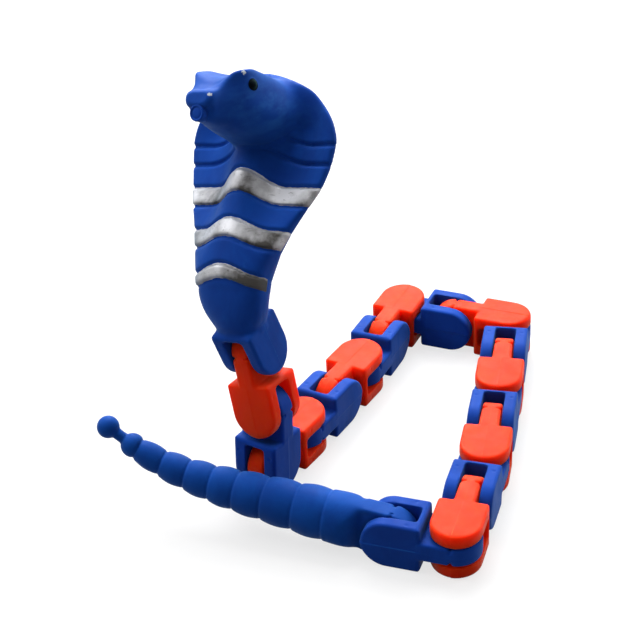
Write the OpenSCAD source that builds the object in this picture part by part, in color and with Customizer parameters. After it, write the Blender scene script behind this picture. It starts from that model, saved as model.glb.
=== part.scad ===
// Jointed cobra toy: a head with a spread hood, sixteen square links and a beaded tail,
// each hinged to the next by two bosses that snap into blind recesses.
// Every link lies along its own +X: tongue hinge at the origin with its axis along Y,
// fork hinge at x = pitch with its axis along Z.

/* [Link] */
// Width and height of the square link section
link_w = 12; // [11:0.1:13]
// Distance from the tongue hinge to the fork hinge of one link
pitch = 15.2; // [15:0.1:16]
// Distance from the tongue hinge to the shoulder of the fork
shoulder = 7.0; // [6.8:0.05:7.2]
// Thickness of the bridge that joins the two ears
bridge_t = 1.4; // [1.2:0.1:1.5]
// Thickness of one ear
ear_t = 3.25; // [3:0.05:3.4]
// Thickness of the tongue
tongue_t = 4.8; // [4.2:0.1:5]
// Rounding of the outer edges
edge_r = 1; // [0.4:0.1:1.2]
// How far the outer faces of the ears fall away from the parting line
draft = 0.25; // [0:0.05:0.4]

/* [Hinge] */
// Radius of the hinge boss on each face of a tongue
boss_r = 2.0; // [1.5:0.1:2.5]
// Radial clearance of the boss in its recess
boss_fit = 0.05; // [0.03:0.01:0.1]
// Height of the boss
boss_h = 0.9; // [0.7:0.05:1.1]
// Depth of the click grooves on the tongue
groove_d = 0.35; // [0.2:0.05:0.4]
// Height of the click ribs inside the ears
rib_h = 0.25; // [0.1:0.05:0.28]

/* [Head] */
// Angle by which the hood leans back from the fork
hood_lean = 50; // [40:1:60]
// Half width of the hood at its widest
hood_half = 19.9; // [18:0.1:21]
// Height of the ribs across the front of the hood
hood_rib = 0.55; // [0.3:0.05:0.8]
// Radius of the round mouth stub
mouth_r = 1.95; // [1.5:0.05:2.2]

/* [Tail] */
// Radius of the ball at the tip
ball_r = 2.7; // [2.4:0.1:3]
// Bulge of each bead over its grooves
bead_bulge = 0.5; // [0.3:0.05:0.7]

/* [Pose] */
// Turn of the link that stands at the front right, seen from above
base_yaw = -100.8; // [-110:0.1:-90]
// Place of that link's tongue hinge along X
base_x = 48.65; // [0:0.01:60]
// Place of that link's tongue hinge along Y
base_y = 38.36; // [0:0.01:80]

/* [Hidden] */

half = link_w / 2;
gap = link_w - 2 * ear_t;
tongue_rim = 0.6;
// Length of a click groove less than the tongue's height, at both ends together
groove_short = 0.6;
// Gap over each boss in its recess
boss_top = 0.15;
// Click rib in an ear: distance from the hinge, length, half its base, and how far it sinks in
rib_y = 4.1;
rib_len = 2.6;
rib_half = 0.5;
rib_sink = 0.1;
// Ejector marks beside the slot of each fork
mark_r = 0.5;
mark_d = 0.2;
mark_x = 3.3;
// Ends of the ears: how far the centres of their two arcs lie off the middle
ear_far = 0.25;
slot_r = 0.9;
base_link = 10;
tail_index = 17;
// Bend of the hinge after each piece, head first, as the toy is stood for its picture
bends = [-16.4, 12.3, 93.9, 2.2, 0, 5.3, 0, -88.4, 0, -77.7, 0, -1.2, 0, -5.1, 0, -92, 5];

// Odd links are orange and hold a hinge that turns about the vertical on the table
function is_orange(i) = i % 2 == 1;
function roll(i) = is_orange(i) ? 90 : -90;

// Puts its child in the frame of piece i, from the head, 0, to the tail, 17
module at(i) {
  if (i == base_link)
    translate([base_x, base_y, half]) rotate([0, 0, base_yaw]) rotate([90, 0, 0]) children();
  else if (i > base_link)
    at(i - 1) translate([pitch, 0, 0]) rotate([0, 0, bends[i - 1]]) rotate([roll(i - 1), 0, 0])
      children();
  else
    at(i + 1) rotate([-roll(i), 0, 0]) rotate([0, 0, -bends[i]]) translate([-pitch, 0, 0])
      children();
}

module tinted(i) {
  if (is_orange(i)) color([0.96, 0.27, 0.12]) children();
  else color([0.13, 0.33, 0.78]) children();
}

// Rectangle with exact round corners
module round_rect(w, h, r) {
  square([w - 2 * r, h], center = true);
  square([w, h - 2 * r], center = true);
  for (x = [-1, 1], y = [-1, 1])
    translate([x * (w / 2 - r), y * (h / 2 - r)]) circle(r, $fn = 32);
}

// Disc about Z with a rounded rim
module rimmed_disc(r, t, rim) {
  rotate_extrude($fn = 96) {
    translate([0, -t / 2]) square([r - rim, t]);
    translate([0, -t / 2 + rim]) square([r, t - 2 * rim]);
    for (y = [-1, 1]) translate([r - rim, y * (t / 2 - rim)]) circle(rim, $fn = 32);
  }
}

// Tongue: a slab with a round end, two bosses and click grooves, as far as x = reach
module tongue(reach) {
  groove_w = groove_d * sqrt(2);
  difference() {
    union() {
      rotate([90, 0, 0]) rimmed_disc(half, tongue_t, tongue_rim);
      rotate([90, 0, 90]) linear_extrude(reach) round_rect(tongue_t, link_w, tongue_rim);
    }
    for (s = [-1, 1], a = [0, 90]) rotate([0, a, 0])
      translate([0, s * tongue_t / 2, 0]) rotate([0, 0, 45])
        cube([groove_w, groove_w, link_w - groove_short], center = true);
  }
  rotate([90, 0, 0]) cylinder(r = boss_r, h = tongue_t + 2 * boss_h, center = true, $fn = 64);
}

// Outside of the fork: a block with round ends that meet in a slight point
module fork_outside() {
  end_r = half + ear_far;
  end_x = pitch + half - sqrt(pow(end_r, 2) - pow(ear_far, 2));
  intersection() {
    union() {
      translate([shoulder, 0, 0]) rotate([90, 0, 90]) linear_extrude(end_x - shoulder)
        round_rect(link_w, link_w, edge_r);
      intersection() {
        translate([end_x, ear_far, 0]) rimmed_disc(end_r, link_w, edge_r);
        translate([end_x, -ear_far, 0]) rimmed_disc(end_r, link_w, edge_r);
        translate([end_x, -link_w, -link_w]) cube(2 * link_w);
      }
    }
    // corners of the shoulder, seen from above
    translate([0, 0, -link_w]) linear_extrude(2 * link_w)
      translate([shoulder + link_w, 0]) round_rect(2 * link_w, link_w, edge_r);
    // corners of the shoulder, seen from the side
    rotate([90, 0, 0]) translate([0, 0, -link_w]) linear_extrude(2 * link_w)
      translate([shoulder + link_w, 0]) round_rect(2 * link_w, link_w, edge_r);
    // draft on both sides of the parting line
    rotate([90, 0, 90]) linear_extrude(2 * link_w + pitch) polygon([
      [-half - 1, half - draft], [0, half], [half + 1, half - draft],
      [half + 1, draft - half], [0, -half], [-half - 1, draft - half]]);
  }
}

// Fork: two ears on a bridge, with blind recesses for the bosses
module fork() {
  inner = shoulder + bridge_t;
  difference() {
    fork_outside();
    rotate([90, 0, 0]) translate([inner + link_w, 0, -link_w]) linear_extrude(2 * link_w)
      round_rect(2 * link_w, gap, slot_r);
    translate([pitch, 0, 0])
      cylinder(r = boss_r + boss_fit, h = tongue_t + 2 * (boss_h + boss_top), center = true,
        $fn = 64);
    for (y = [-1, 1], z = [-1, 1])
      translate([shoulder + mark_x, y * half, z * (half - ear_t / 2)])
        rotate([90, 0, 0]) cylinder(r = mark_r, h = 2 * mark_d, center = true, $fn = 24);
  }
  for (y = [-1, 1], z = [-1, 1]) translate([pitch, y * rib_y, z * gap / 2]) click_rib(z);
}

// Small three-sided rib on the inner face of an ear
module click_rib(z) {
  rotate([90, 0, 0]) linear_extrude(rib_len, center = true)
    polygon([[-rib_half, z * rib_sink], [rib_half, z * rib_sink], [0, -z * rib_h]]);
}

module link() {
  tongue(shoulder + bridge_t / 2);
  fork();
}

// Tail: a tongue that swells into a round root, tapering beads that curl up, and a ball
tail_len = [7.6, 7.7, 7.1, 6.2, 6.3, 6.5, 6.7];
tail_rad = [5.8, 5.5, 5.1, 4.65, 4.15, 3.6, 3.1, 2.55];
tail_turn = [-1, -0.4, 0, -2, -3.5, -6, -8.5];
tip_turn = -9;
root_start = 6.8;
root_end = 15.3;
root_bulge = 0.3;
root_nose = 6.3;
neck_r = 1.35;
// How far each bead starts inside the one before it, and how much smaller it is there
bead_in = 0.4;
bead_step = 0.15;

// Bead: a solid of revolution along +X between two radii, with a bulging side
module bead(len, r0, r1) {
  steps = 10;
  side = [for (k = [1:steps]) let (t = k / steps)
    [lerp(r0, r1, t) + bead_bulge * sin(180 * t), len * t]];
  rotate([0, 90, 0]) rotate_extrude($fn = 72)
    polygon(concat([[0, -bead_in], [r0 - bead_step, -bead_in]], side, [[0, len]]));
}

module tail_beads(i) {
  if (i < len(tail_len)) rotate([0, tail_turn[i], 0]) {
    bead(tail_len[i], tail_rad[i] - (i == 0 ? 0 : bead_step), tail_rad[i + 1]);
    translate([tail_len[i], 0, 0]) tail_beads(i + 1);
  } else tail_tip();
}

module tail_tip() {
  last_r = 2.9;
  last_x = 1.5;
  ball_x = 8.7;
  rotate([0, tip_turn, 0]) {
    translate([last_x, 0, 0]) sphere(r = last_r, $fn = 48);
    rotate([0, 90, 0]) cylinder(r = neck_r, h = ball_x - ball_r / 2, $fn = 48);
    translate([ball_x, 0, 0]) sphere(r = ball_r, $fn = 48);
  }
}

// Root: a slightly bulged barrel that narrows to the tongue in a round nose
module tail_root() {
  start_r = 5.95;
  end_r = 6.05;
  steps = 8;
  turned = [for (k = [0:steps]) let (t = k / steps)
    [lerp(start_r, end_r, t) + root_bulge * sin(180 * t), lerp(root_start, root_end, t)]];
  intersection() {
    translate([0, 0, -link_w]) linear_extrude(2 * link_w) {
      translate([root_start + root_nose, 0]) circle(root_nose, $fn = 72);
      translate([root_start + root_nose, -link_w]) square([root_end, 2 * link_w]);
    }
    rotate([0, 90, 0]) rotate_extrude($fn = 72)
      polygon(concat([[0, root_start]], turned, [[0, root_end]]));
  }
}

module tail_piece() {
  tongue(root_start + 3);
  tail_root();
  translate([root_end, 0, 0]) tail_beads(0);
}

// Value at x on a smooth line through the points of a table
function ease(t) = t * t * (3 - 2 * t);
function lerp(a, b, t) = a + (b - a) * t;
function along(x, tab, i = 0) =
  x <= tab[0][0] ? tab[0][1] :
  i >= len(tab) - 1 ? tab[i][1] :
  x <= tab[i + 1][0] ?
    lerp(tab[i][1], tab[i + 1][1], (x - tab[i][0]) / (tab[i + 1][0] - tab[i][0])) :
  along(x, tab, i + 1);

// Closed solid through rings of points, with a fan at each end
module loft(rings) {
  n = len(rings[0]);
  m = len(rings);
  middle = function (ring) [for (k = [0:2]) [for (q = ring) 1] * [for (q = ring) q[k]] / n];
  points = concat([for (ring = rings) each ring], [middle(rings[0]), middle(rings[m - 1])]);
  sides = [for (i = [0:m - 2], j = [0:n - 1])
    each [[i * n + j, (i + 1) * n + (j + 1) % n, (i + 1) * n + j],
      [i * n + j, i * n + (j + 1) % n, (i + 1) * n + (j + 1) % n]]];
  ends = [for (j = [0:n - 1])
    each [[m * n, (j + 1) % n, j], [m * n + 1, (m - 1) * n + j, (m - 1) * n + (j + 1) % n]]];
  polyhedron(points, concat(sides, ends));
}

// The hood's own frame: X to the side, -Y the way the snake looks, Z up the hood.
// Its spine leaves the fork along an arc and then runs straight, leaning back.
spine_r = 8;
spine_start = 7.6;
arc_top = 11;
hood_wide = 47;
hood_top = 64;
around = 40;
edge_half = 1.1;
neck_half = 6.5;
// Height at the hood's edge of each groove between two ribs, and how far it peaks in the middle
grooves = [11.9, 14.9, 21.3, 25.8, 32.0, 36.8, 42.4, 47.1];
peaks = [1.7, 2.4, 2.1, 2.5, 2.4, 3.6, 3.8, 3.6];
// Distance from the middle within which they peak, by height up the hood
peak_tab = [[36.8, 9.5], [42.4, 15]];
// Half width, front of the belly, level of the edges and back, each by height up the hood
width_tab = [[4, 6.0], [7.5, 7.9], [11, 9.0], [15, 9.4], [21, 11.3], [26, 13.4], [32, 16.1],
  [36.5, 18.0], [42, 19.4], [hood_wide, hood_half]];
front_tab = [[4, 4.3], [7.5, 4.8], [11, 6.7], [14, 7.5], [22, 7.4], [28, 5.9], [35, 4.9],
  [42, 4.0], [60, 2.5]];
edge_tab = [[4, 0], [11, 2.7], [15, 3.5], [21, 2.9], [26, 2.0], [32, 0.7], [36.5, -0.7],
  [42, -1.3], [60, -1.5]];
back_tab = [[4, -5.0], [8, -4.4], [13, -3.3], [20, -3.3], [26, -3.7], [34, -4.4], [50, -5.6],
  [62, -4.6]];

function hood_width(h) = h <= hood_wide ? along(h, width_tab) :
  hood_half * pow(1 - pow((h - hood_wide) / (hood_top - hood_wide), 2), 0.7);
// Lean of the section at height h, and the point of the spine that it turns about
function lean(h) = hood_lean * min(1, max(0, (h - 4) / (arc_top - 4)));
function spine(h) = let (a = lean(h), run = max(0, h - arc_top))
  [-spine_r * (1 - cos(a)) - run * sin(hood_lean),
   spine_start + spine_r * sin(a) + run * cos(hood_lean)];
// Point of a section, as [side, back, up] in the frame of the fork
function hood_point(side, fore, h) = let (a = lean(h), s = spine(h))
  [side, -s[0] - fore * cos(a), s[1] + fore * sin(a)];
function hump(t) = (1 + cos(180 * t)) / 2;
// Section at height h: from an oval neck at the bottom, k = 0, to two thin wings, k = 1
function hood_ring(h, peak, rib) =
  let (w = hood_width(h), f = along(h, front_tab), e = along(h, edge_tab),
       b = along(h, back_tab), k = ease(min(1, max(0, (h - 14) / 22))))
  [for (j = [0:around - 1])
    let (t = 360 * j / around, c = cos(t), s = sin(t), x = w * c,
         belly = (1 - k) * abs(s) + k * exp(-pow(abs(x) / neck_half, 2.5)) * abs(s),
         spread = (1 - k) * abs(s) + k * hump(c),
         fore = s >= 0 ? e + (f - e) * belly + edge_half * s + rib * min(1, s * 3 + 0.3)
                       : e - (e - b) * spread + edge_half * s,
         chevron = s >= 0 ? peak * hump(min(1, abs(x) / along(h, peak_tab))) : 0)
    hood_point(x * (1 + rib / 2 / w), fore, h + chevron)];

module hood() {
  lower = [for (h = [4, 5.2, 6.4, 7.6, 8.8, 10, arc_top]) hood_ring(h, 0, 0)];
  ribs = [for (i = [0:len(grooves) - 2], q = [[0, -0.25], [0.14, 0.85], [0.5, 1], [0.86, 0.85]])
    hood_ring(lerp(grooves[i], grooves[i + 1], q[0]), lerp(peaks[i], peaks[i + 1], q[0]),
      hood_rib * q[1])];
  last = len(grooves) - 1;
  upper = [for (q = [[grooves[last], -0.25, 3.6], [48.2, 0.9, 3], [50.5, 1, 2], [53, 1, 1],
      [56, 0.8, 0], [59, 0.6, 0], [61.5, 0.4, 0], [62.8, 0.2, 0], [63.8, 0, 0]])
    hood_ring(q[0], q[2], hood_rib * q[1])];
  loft(concat(lower, ribs, upper));
}

// Half sections of the head across the way it looks, each at its distance in front of the
// hood's plane: points [side, up] from the crown through brow, cheek and jaw to the throat
head_sections = [
  [5.0, [[0, 61.8], [5.8, 61.6], [11.0, 59.2], [16.0, 54.6],
    [16.0, 49.0], [11.0, 44.4], [5.0, 42.6], [0, 42.2]]],
  [7.6, [[0, 62.0], [5.6, 61.8], [10.6, 59.6], [15.2, 55.2],
    [15.2, 49.6], [10.4, 44.8], [4.8, 43.0], [0, 42.6]]],
  [8.8, [[0, 61.8], [5.2, 61.7], [9.8, 59.8], [13.2, 55.8],
    [13.2, 50.4], [9.2, 45.6], [4.4, 43.8], [0, 43.4]]],
  [10.4, [[0, 61.6], [4.8, 61.6], [9.0, 59.9], [11.8, 56.2],
    [11.9, 50.8], [8.4, 46.2], [4.1, 44.4], [0, 44.1]]],
  [13.0, [[0, 61.3], [4.2, 61.5], [7.9, 60.1], [10.2, 56.6],
    [10.6, 51.1], [7.4, 46.7], [3.7, 45.0], [0, 44.7]]],
  [18.0, [[0, 60.6], [4.0, 61.0], [6.8, 60.4], [8.6, 57.0],
    [9.0, 51.4], [6.2, 47.4], [3.0, 46.0], [0, 45.6]]],
  [23.0, [[0, 59.0], [3.8, 60.1], [6.5, 60.4], [7.8, 57.2],
    [7.8, 51.6], [5.4, 47.7], [2.7, 46.3], [0, 46.0]]],
  [26.4, [[0, 57.9], [4.0, 59.0], [7.0, 59.5], [7.1, 56.4],
    [6.4, 51.4], [4.6, 47.9], [2.3, 46.6], [0, 46.3]]],
  [29.0, [[0, 56.2], [3.3, 57.3], [5.7, 58.3], [5.4, 55.4],
    [5.0, 51.2], [3.8, 48.0], [2.1, 46.6], [0, 46.3]]],
  [30.4, [[0, 54.8], [2.4, 55.2], [4.1, 55.8], [4.5, 54.0],
    [4.3, 50.8], [3.4, 48.0], [1.9, 46.6], [0, 46.3]]],
  [31.4, [[0, 54.0], [2.2, 54.2], [3.7, 54.2], [4.2, 53.0],
    [4.0, 50.8], [3.2, 48.2], [1.8, 46.8], [0, 46.5]]],
  [32.3, [[0, 53.4], [2.2, 53.5], [3.7, 53.2], [4.1, 52.2],
    [4.0, 50.7], [3.3, 49.2], [1.8, 48.6], [0, 48.5]]],
  [33.5, [[0, 52.9], [2.0, 52.9], [3.3, 52.5], [3.8, 51.7],
    [3.7, 50.4], [3.0, 49.4], [1.7, 49.0], [0, 48.9]]],
  [34.2, [[0, 52.2], [1.4, 52.2], [2.4, 51.9], [2.8, 51.3],
    [2.8, 50.6], [2.3, 49.9], [1.3, 49.6], [0, 49.5]]]];
eye_at = [6.9, 24.1, 56.3];
eye_r = 1.3;
stub_at = [0, 33.7, 47.6];
stub_len = 5;
stub_tilt = 13;

// Smooth closed ring through a half section and its mirror image
function spline_at(p, i, t) = let (n = len(p), a = p[(i + n - 1) % n], b = p[i % n],
    c = p[(i + 1) % n], d = p[(i + 2) % n])
  (2 * b + (c - a) * t + (2 * a - 5 * b + 4 * c - d) * t * t
    + (3 * b - a - 3 * c + d) * t * t * t) / 2;
function head_ring(q) =
  let (m = len(q[1]), ring = concat([for (k = [0:m - 1]) [q[1][k][0], q[1][k][1]]],
    [for (k = [m - 2:-1:1]) [-q[1][k][0], q[1][k][1]]]))
  [for (i = [0:len(ring) - 1], t = [0, 0.33, 0.67]) let (v = spline_at(ring, i, t))
    [v[0], -q[0], v[1]]];

module snout() {
  loft([for (q = head_sections) head_ring(q)]);
  for (x = [-1, 1]) translate([x * eye_at[0], -eye_at[1], eye_at[2]]) sphere(r = eye_r, $fn = 32);
  translate([0, -stub_at[1], stub_at[2]]) rotate([stub_tilt - 90, 0, 0])
    cylinder(r = mouth_r, h = stub_len, $fn = 48);
}

module head_piece() {
  fork();
  translate([pitch, 0, 0]) rotate([0, -90, 0]) {
    hood();
    rotate([-hood_lean, 0, 0]) snout();
  }
}

module piece(i) {
  if (i == 0) head_piece();
  else if (i == tail_index) tail_piece();
  else link();
}

module placed(i) {
  tinted(i == tail_index ? 0 : i) at(i) piece(i);
}

for (i = [0:tail_index])
  placed(i);
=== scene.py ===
import math

import bmesh
import bpy
import numpy as np
from mathutils import Matrix, Vector
from mathutils.bvhtree import BVHTree


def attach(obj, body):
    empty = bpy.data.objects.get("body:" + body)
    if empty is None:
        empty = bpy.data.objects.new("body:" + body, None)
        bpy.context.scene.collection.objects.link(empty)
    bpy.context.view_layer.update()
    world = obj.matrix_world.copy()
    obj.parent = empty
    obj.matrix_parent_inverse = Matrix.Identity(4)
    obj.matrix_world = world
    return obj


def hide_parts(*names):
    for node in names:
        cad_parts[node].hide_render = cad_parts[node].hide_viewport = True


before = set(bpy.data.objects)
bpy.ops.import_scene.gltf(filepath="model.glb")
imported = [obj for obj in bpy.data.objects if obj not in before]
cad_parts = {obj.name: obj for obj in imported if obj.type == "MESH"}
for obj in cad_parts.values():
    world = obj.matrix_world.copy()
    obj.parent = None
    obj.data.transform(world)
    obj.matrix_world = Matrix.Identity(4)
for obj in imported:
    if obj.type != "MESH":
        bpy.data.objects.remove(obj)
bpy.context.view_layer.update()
MM = 0.001

# The chain's own geometry, in millimetres and degrees, as in the CAD source
PITCH = 15.2  # from hinge to hinge
SHOULDER = 7.0  # from a link's first hinge to the body of its fork
LEAN = 50.0  # of the hood, back from the head's fork
HEAD = 0
LINKS = range(1, 17)
TAIL = 17
BASE_LINK = 10  # the piece from which the others are placed
BASE = (48.65, 38.36, 6.0)
BASE_YAW = -100.8
BENDS = [-16.4, 12.3, 93.9, 2.2, 0, 5.3, 0, -88.4, 0, -77.7, 0, -1.2, 0, -5.1, 0, -92, 5]


def turn(degrees, axis):
    return Matrix.Rotation(math.radians(degrees), 4, axis)


def roll(i):
    return 90 if i % 2 else -90


def piece_frame(i):
    """Frame of a piece, from the head to the tail, in millimetres."""
    if i == BASE_LINK:
        return Matrix.Translation(BASE) @ turn(BASE_YAW, "Z") @ turn(90, "X")
    step = Matrix.Translation((PITCH, 0, 0))
    if i > BASE_LINK:
        return piece_frame(i - 1) @ step @ turn(BENDS[i - 1], "Z") @ turn(roll(i - 1), "X")
    return piece_frame(i + 1) @ turn(-roll(i), "X") @ turn(-BENDS[i], "Z") @ step.inverted()


# Fork frame: X to the side, -Y the way the snake looks, Z up from the fork's hinge
FORK = piece_frame(HEAD) @ Matrix.Translation((PITCH, 0, 0)) @ turn(-90, "Y")
# Hood frame: the same, leaned back, so that Z runs along the straight part of the hood
HOOD = FORK @ turn(-LEAN, "X")


# Points and meshes
def moved(points, matrix):
    m = np.array(matrix)
    return np.asarray(points) @ m[:3, :3].T + m[:3, 3]


def to_world(points, matrix):
    return moved(points, matrix) * MM


def to_local(points, matrix):
    return moved(np.asarray(points) / MM, matrix.inverted())


def new_object(name, verts, faces):
    mesh = bpy.data.meshes.new(name)
    mesh.from_pydata([tuple(v) for v in verts], [], faces)
    mesh.validate()
    mesh.update()
    obj = bpy.data.objects.new(name, mesh)
    bpy.context.scene.collection.objects.link(obj)
    return obj


def vertex_array(obj):
    co = np.zeros(len(obj.data.vertices) * 3)
    obj.data.vertices.foreach_get("co", co)
    return co.reshape(-1, 3)


def face_list(obj):
    return [tuple(f.vertices) for f in obj.data.polygons]


def from_bmesh(bm):
    """Points and faces of a bmesh, which is then freed."""
    verts = np.array([v.co[:] for v in bm.verts])
    faces = [[v.index for v in f.verts] for f in bm.faces]
    bm.free()
    return verts, faces


def loft_faces(rows, cols):
    """Faces of a closed tube of rings with a fan at each end; two middle points come last."""
    out = []
    for i in range(rows - 1):
        for j in range(cols):
            k = (j + 1) % cols
            out.append((i * cols + j, i * cols + k, (i + 1) * cols + k, (i + 1) * cols + j))
    first, last = rows * cols, rows * cols + 1
    for j in range(cols):
        k = (j + 1) % cols
        out.append((first, k, j))
        out.append((last, (rows - 1) * cols + j, (rows - 1) * cols + k))
    return out


def loft(name, rings, matrix):
    rings = np.asarray(rings, float)
    rows, cols, _ = rings.shape
    pts = np.vstack([rings.reshape(-1, 3), rings[0].mean(0), rings[-1].mean(0)])
    return new_object(name, to_world(pts, matrix), loft_faces(rows, cols))


def lathe(name, profile, matrix, steps=64):
    """Solid of revolution about Z from [radius, height] points, in millimetres."""
    a = np.linspace(0, 2 * math.pi, steps, endpoint=False)
    rings = [np.stack([r * np.cos(a), r * np.sin(a), np.full(steps, z)], 1) for r, z in profile]
    return loft(name, rings, matrix)


def ball(name, centre, r, matrix):
    bm = bmesh.new()
    bmesh.ops.create_uvsphere(bm, u_segments=32, v_segments=20, radius=r)
    verts, faces = from_bmesh(bm)
    return new_object(name, to_world(verts + centre, matrix), faces)


def join(name, parts):
    verts, faces, base = [], [], 0
    for p in parts:
        co = vertex_array(p)
        verts.append(co)
        faces += [tuple(base + v for v in f) for f in face_list(p)]
        base += len(co)
        bpy.data.objects.remove(p)
    return new_object(name, np.vstack(verts), faces)


def smooth_shade(obj):
    for p in obj.data.polygons:
        p.use_smooth = True


def add_attribute(obj, name, values):
    layer = obj.data.attributes.new(name, "FLOAT", "POINT")
    layer.data.foreach_set("value", np.asarray(values, np.float32))


def applied(obj):
    """Replaces an object's mesh by the result of its modifiers."""
    graph = bpy.context.evaluated_depsgraph_get()
    mesh = bpy.data.meshes.new_from_object(obj.evaluated_get(graph))
    old = obj.data
    obj.modifiers.clear()
    obj.data = mesh
    bpy.data.meshes.remove(old)
    return obj


def remesh(obj, size):
    mod = obj.modifiers.new("remesh", "REMESH")
    mod.mode = "VOXEL"
    mod.voxel_size = size * MM
    return applied(obj)


def relax(obj, weights, rounds, factor=0.5):
    """Moves each vertex towards the mean of its neighbours, by its own weight."""
    mesh = obj.data
    co = vertex_array(obj)
    edges = np.zeros(len(mesh.edges) * 2, np.int64)
    mesh.edges.foreach_get("vertices", edges)
    edges = edges.reshape(-1, 2)
    count = np.bincount(edges.ravel(), minlength=len(co)).clip(1)[:, None]
    w = (np.asarray(weights) * factor)[:, None]
    for _ in range(rounds):
        total = np.zeros_like(co)
        for axis in range(3):
            total[:, axis] = np.bincount(edges[:, 0], co[edges[:, 1], axis], len(co)) \
                + np.bincount(edges[:, 1], co[edges[:, 0], axis], len(co))
        co += w * (total / count - co)
    mesh.vertices.foreach_set("co", co.ravel())
    mesh.update()


def skin_of(node, place, voxel, rounds):
    """A CAD node's mesh in its own frame, in metres, with moulded, rounded edges."""
    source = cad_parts[node]
    local = to_local(vertex_array(source), place)
    obj = new_object(node + "_skin", local * MM, face_list(source))
    remesh(obj, voxel)
    relax(obj, np.ones(len(obj.data.vertices)), rounds)
    return obj


def step_up(x, lo, hi):
    t = np.clip((x - lo) / (hi - lo), 0, 1)
    return t * t * (3 - 2 * t)


# Hood, in millimetres; every table goes by height up the hood
HOOD_FOOT = 4
HOOD_HALF = 20.4  # half its width at the widest, at height HOOD_WIDE
HOOD_WIDE = 47.0
HOOD_TOP = 63.7
TOP_POWER = 0.6  # roundness of the outline from HOOD_WIDE to HOOD_TOP
TOP_SWELL, SWELL_AT, SWELL_SPREAD = 0.9, 60.5, 2.6  # extra half width below the top
TOP_ROUND = 7.0  # height over which the belly and the back draw in to the rim at the top
TOP_LEAST = 0.02  # what is left of them there, squared
# Rings: one each ROW_STEP, closer ones over TOP_ROWS to TOP_GAP below the top, three at the foot
ROW_STEP = 0.2
TOP_ROWS, TOP_COUNT, TOP_GAP = 4, 36, 0.05
FOOT_DROPS = (1.5, 1.0, 0.5)
AROUND = 120
SPINE_R = 8.0  # radius of the bend from the fork to the straight part
SPINE_START = 7.6
SPINE_N = 8.7  # how far the straight spine lies in front of the hood frame's Z
ARC_TOP = 11.0  # height at which the bend ends
SPREAD = (14, 36)  # heights over which the section goes from oval to belly and wings
BELLY_HALF, BELLY_POWER = 6.5, 2.5
RIM_HALF, RIM_POWER = 1.15, 0.45  # half the thickness of the wings, and how square the rim is
# Half width, then front of the belly, middle of the rim and back, from the spine forward
WIDTH = [(HOOD_FOOT, 6.0), (7.5, 7.9), (11, 9.0), (15, 9.4), (21, 11.3), (26, 13.5), (32, 16.4),
         (36.5, 18.3), (42, 19.7), (HOOD_WIDE, HOOD_HALF)]
FRONT = [(HOOD_FOOT, 4.3), (7.5, 4.8), (11, 6.7), (14, 7.5), (22, 7.4), (28, 5.9), (35, 4.9),
         (42, 4.0), (60, 3.4)]
EDGE = [(HOOD_FOOT, 0), (11, 2.7), (15, 3.5), (21, 2.9), (26, 2.0), (32, 0.7), (36.5, -0.7),
        (42, -1.3), (48, -1.0), (52, -0.2), (56, 0.8), (60, 1.7), (64, 2.3)]
BACK = [(HOOD_FOOT, -5.0), (8, -4.4), (13, -3.3), (20, -3.3), (26, -3.7), (34, -4.4), (50, -5.6),
        (62, -4.6)]
# Height at the hood's edge of each groove between two ribs, and how far it peaks in the middle
GROOVES = [11.9, 14.9, 21.3, 25.8, 32.0, 36.8, 42.4, 47.1]
PEAKS = [1.7, 2.4, 2.1, 2.5, 2.4, 3.6, 3.8, 3.6]
PEAK_END = [(53, 1.0), (57, 0.0)]
PEAK_HALF = [(36.8, 9.5), (42.4, 15)]  # distance from the middle within which they peak
SILVER = [(11.9, 14.9), (21.3, 25.8), (32.0, 36.8)]
SILVER_RISE, SILVER_FALL = 0.75, 0.9  # of a rib over the hood, and the width of its upper flank
BLUE_RISE, BLUE_FALL = 0.6, 1.1
RIB_START = 0.45  # width of a rib's lower flank
RIB_AT_RIM, RIB_SLOPE = 0.3, 3  # share of its rise at the rim, and how soon it is full
RIB_OUTLINE = 0.12  # share of it that shows in the hood's outline
LAST_RIB_END = (52, 60)
GROOVE_DEPTH = 0.4
GROOVE_SPREAD = 0.5
# The wings' hollow: its depth, then where it is deepest and how far it spreads, aside and up
CUP = 1.8
CUP_SIDE, CUP_UP = 13, 51.5
CUP_SPREAD_SIDE, CUP_SPREAD_UP = 4.2, 6.5


def table(points, blur=1.2, step=0.1, longest=70, pad=40):
    """A smooth function through a table of points."""
    xs = np.arange(0, longest, step)
    ys = np.interp(xs, *zip(*points))
    k = np.exp(-0.5 * (np.arange(-pad, pad + 1) * step / blur) ** 2)
    padded = np.concatenate([np.full(pad, ys[0]), ys, np.full(pad, ys[-1])])
    ys = np.convolve(padded, k / k.sum(), "valid")
    return lambda x: np.interp(x, xs, ys)


front_at, edge_at, back_at = table(FRONT), table(EDGE), table(BACK)
width_low = table(WIDTH, blur=0.8)
peak_at = table(list(zip(GROOVES, PEAKS)) + PEAK_END, blur=0.6)


def hood_width(h):
    above = np.maximum(h - HOOD_WIDE, 0) / (HOOD_TOP - HOOD_WIDE)
    top = HOOD_HALF * np.clip(1 - above ** 2, 0, 1) ** TOP_POWER
    swell = TOP_SWELL * np.exp(-((h - SWELL_AT) / SWELL_SPREAD) ** 2)
    return np.where(h <= HOOD_WIDE, np.minimum(width_low(h), HOOD_HALF), top) + swell


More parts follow.
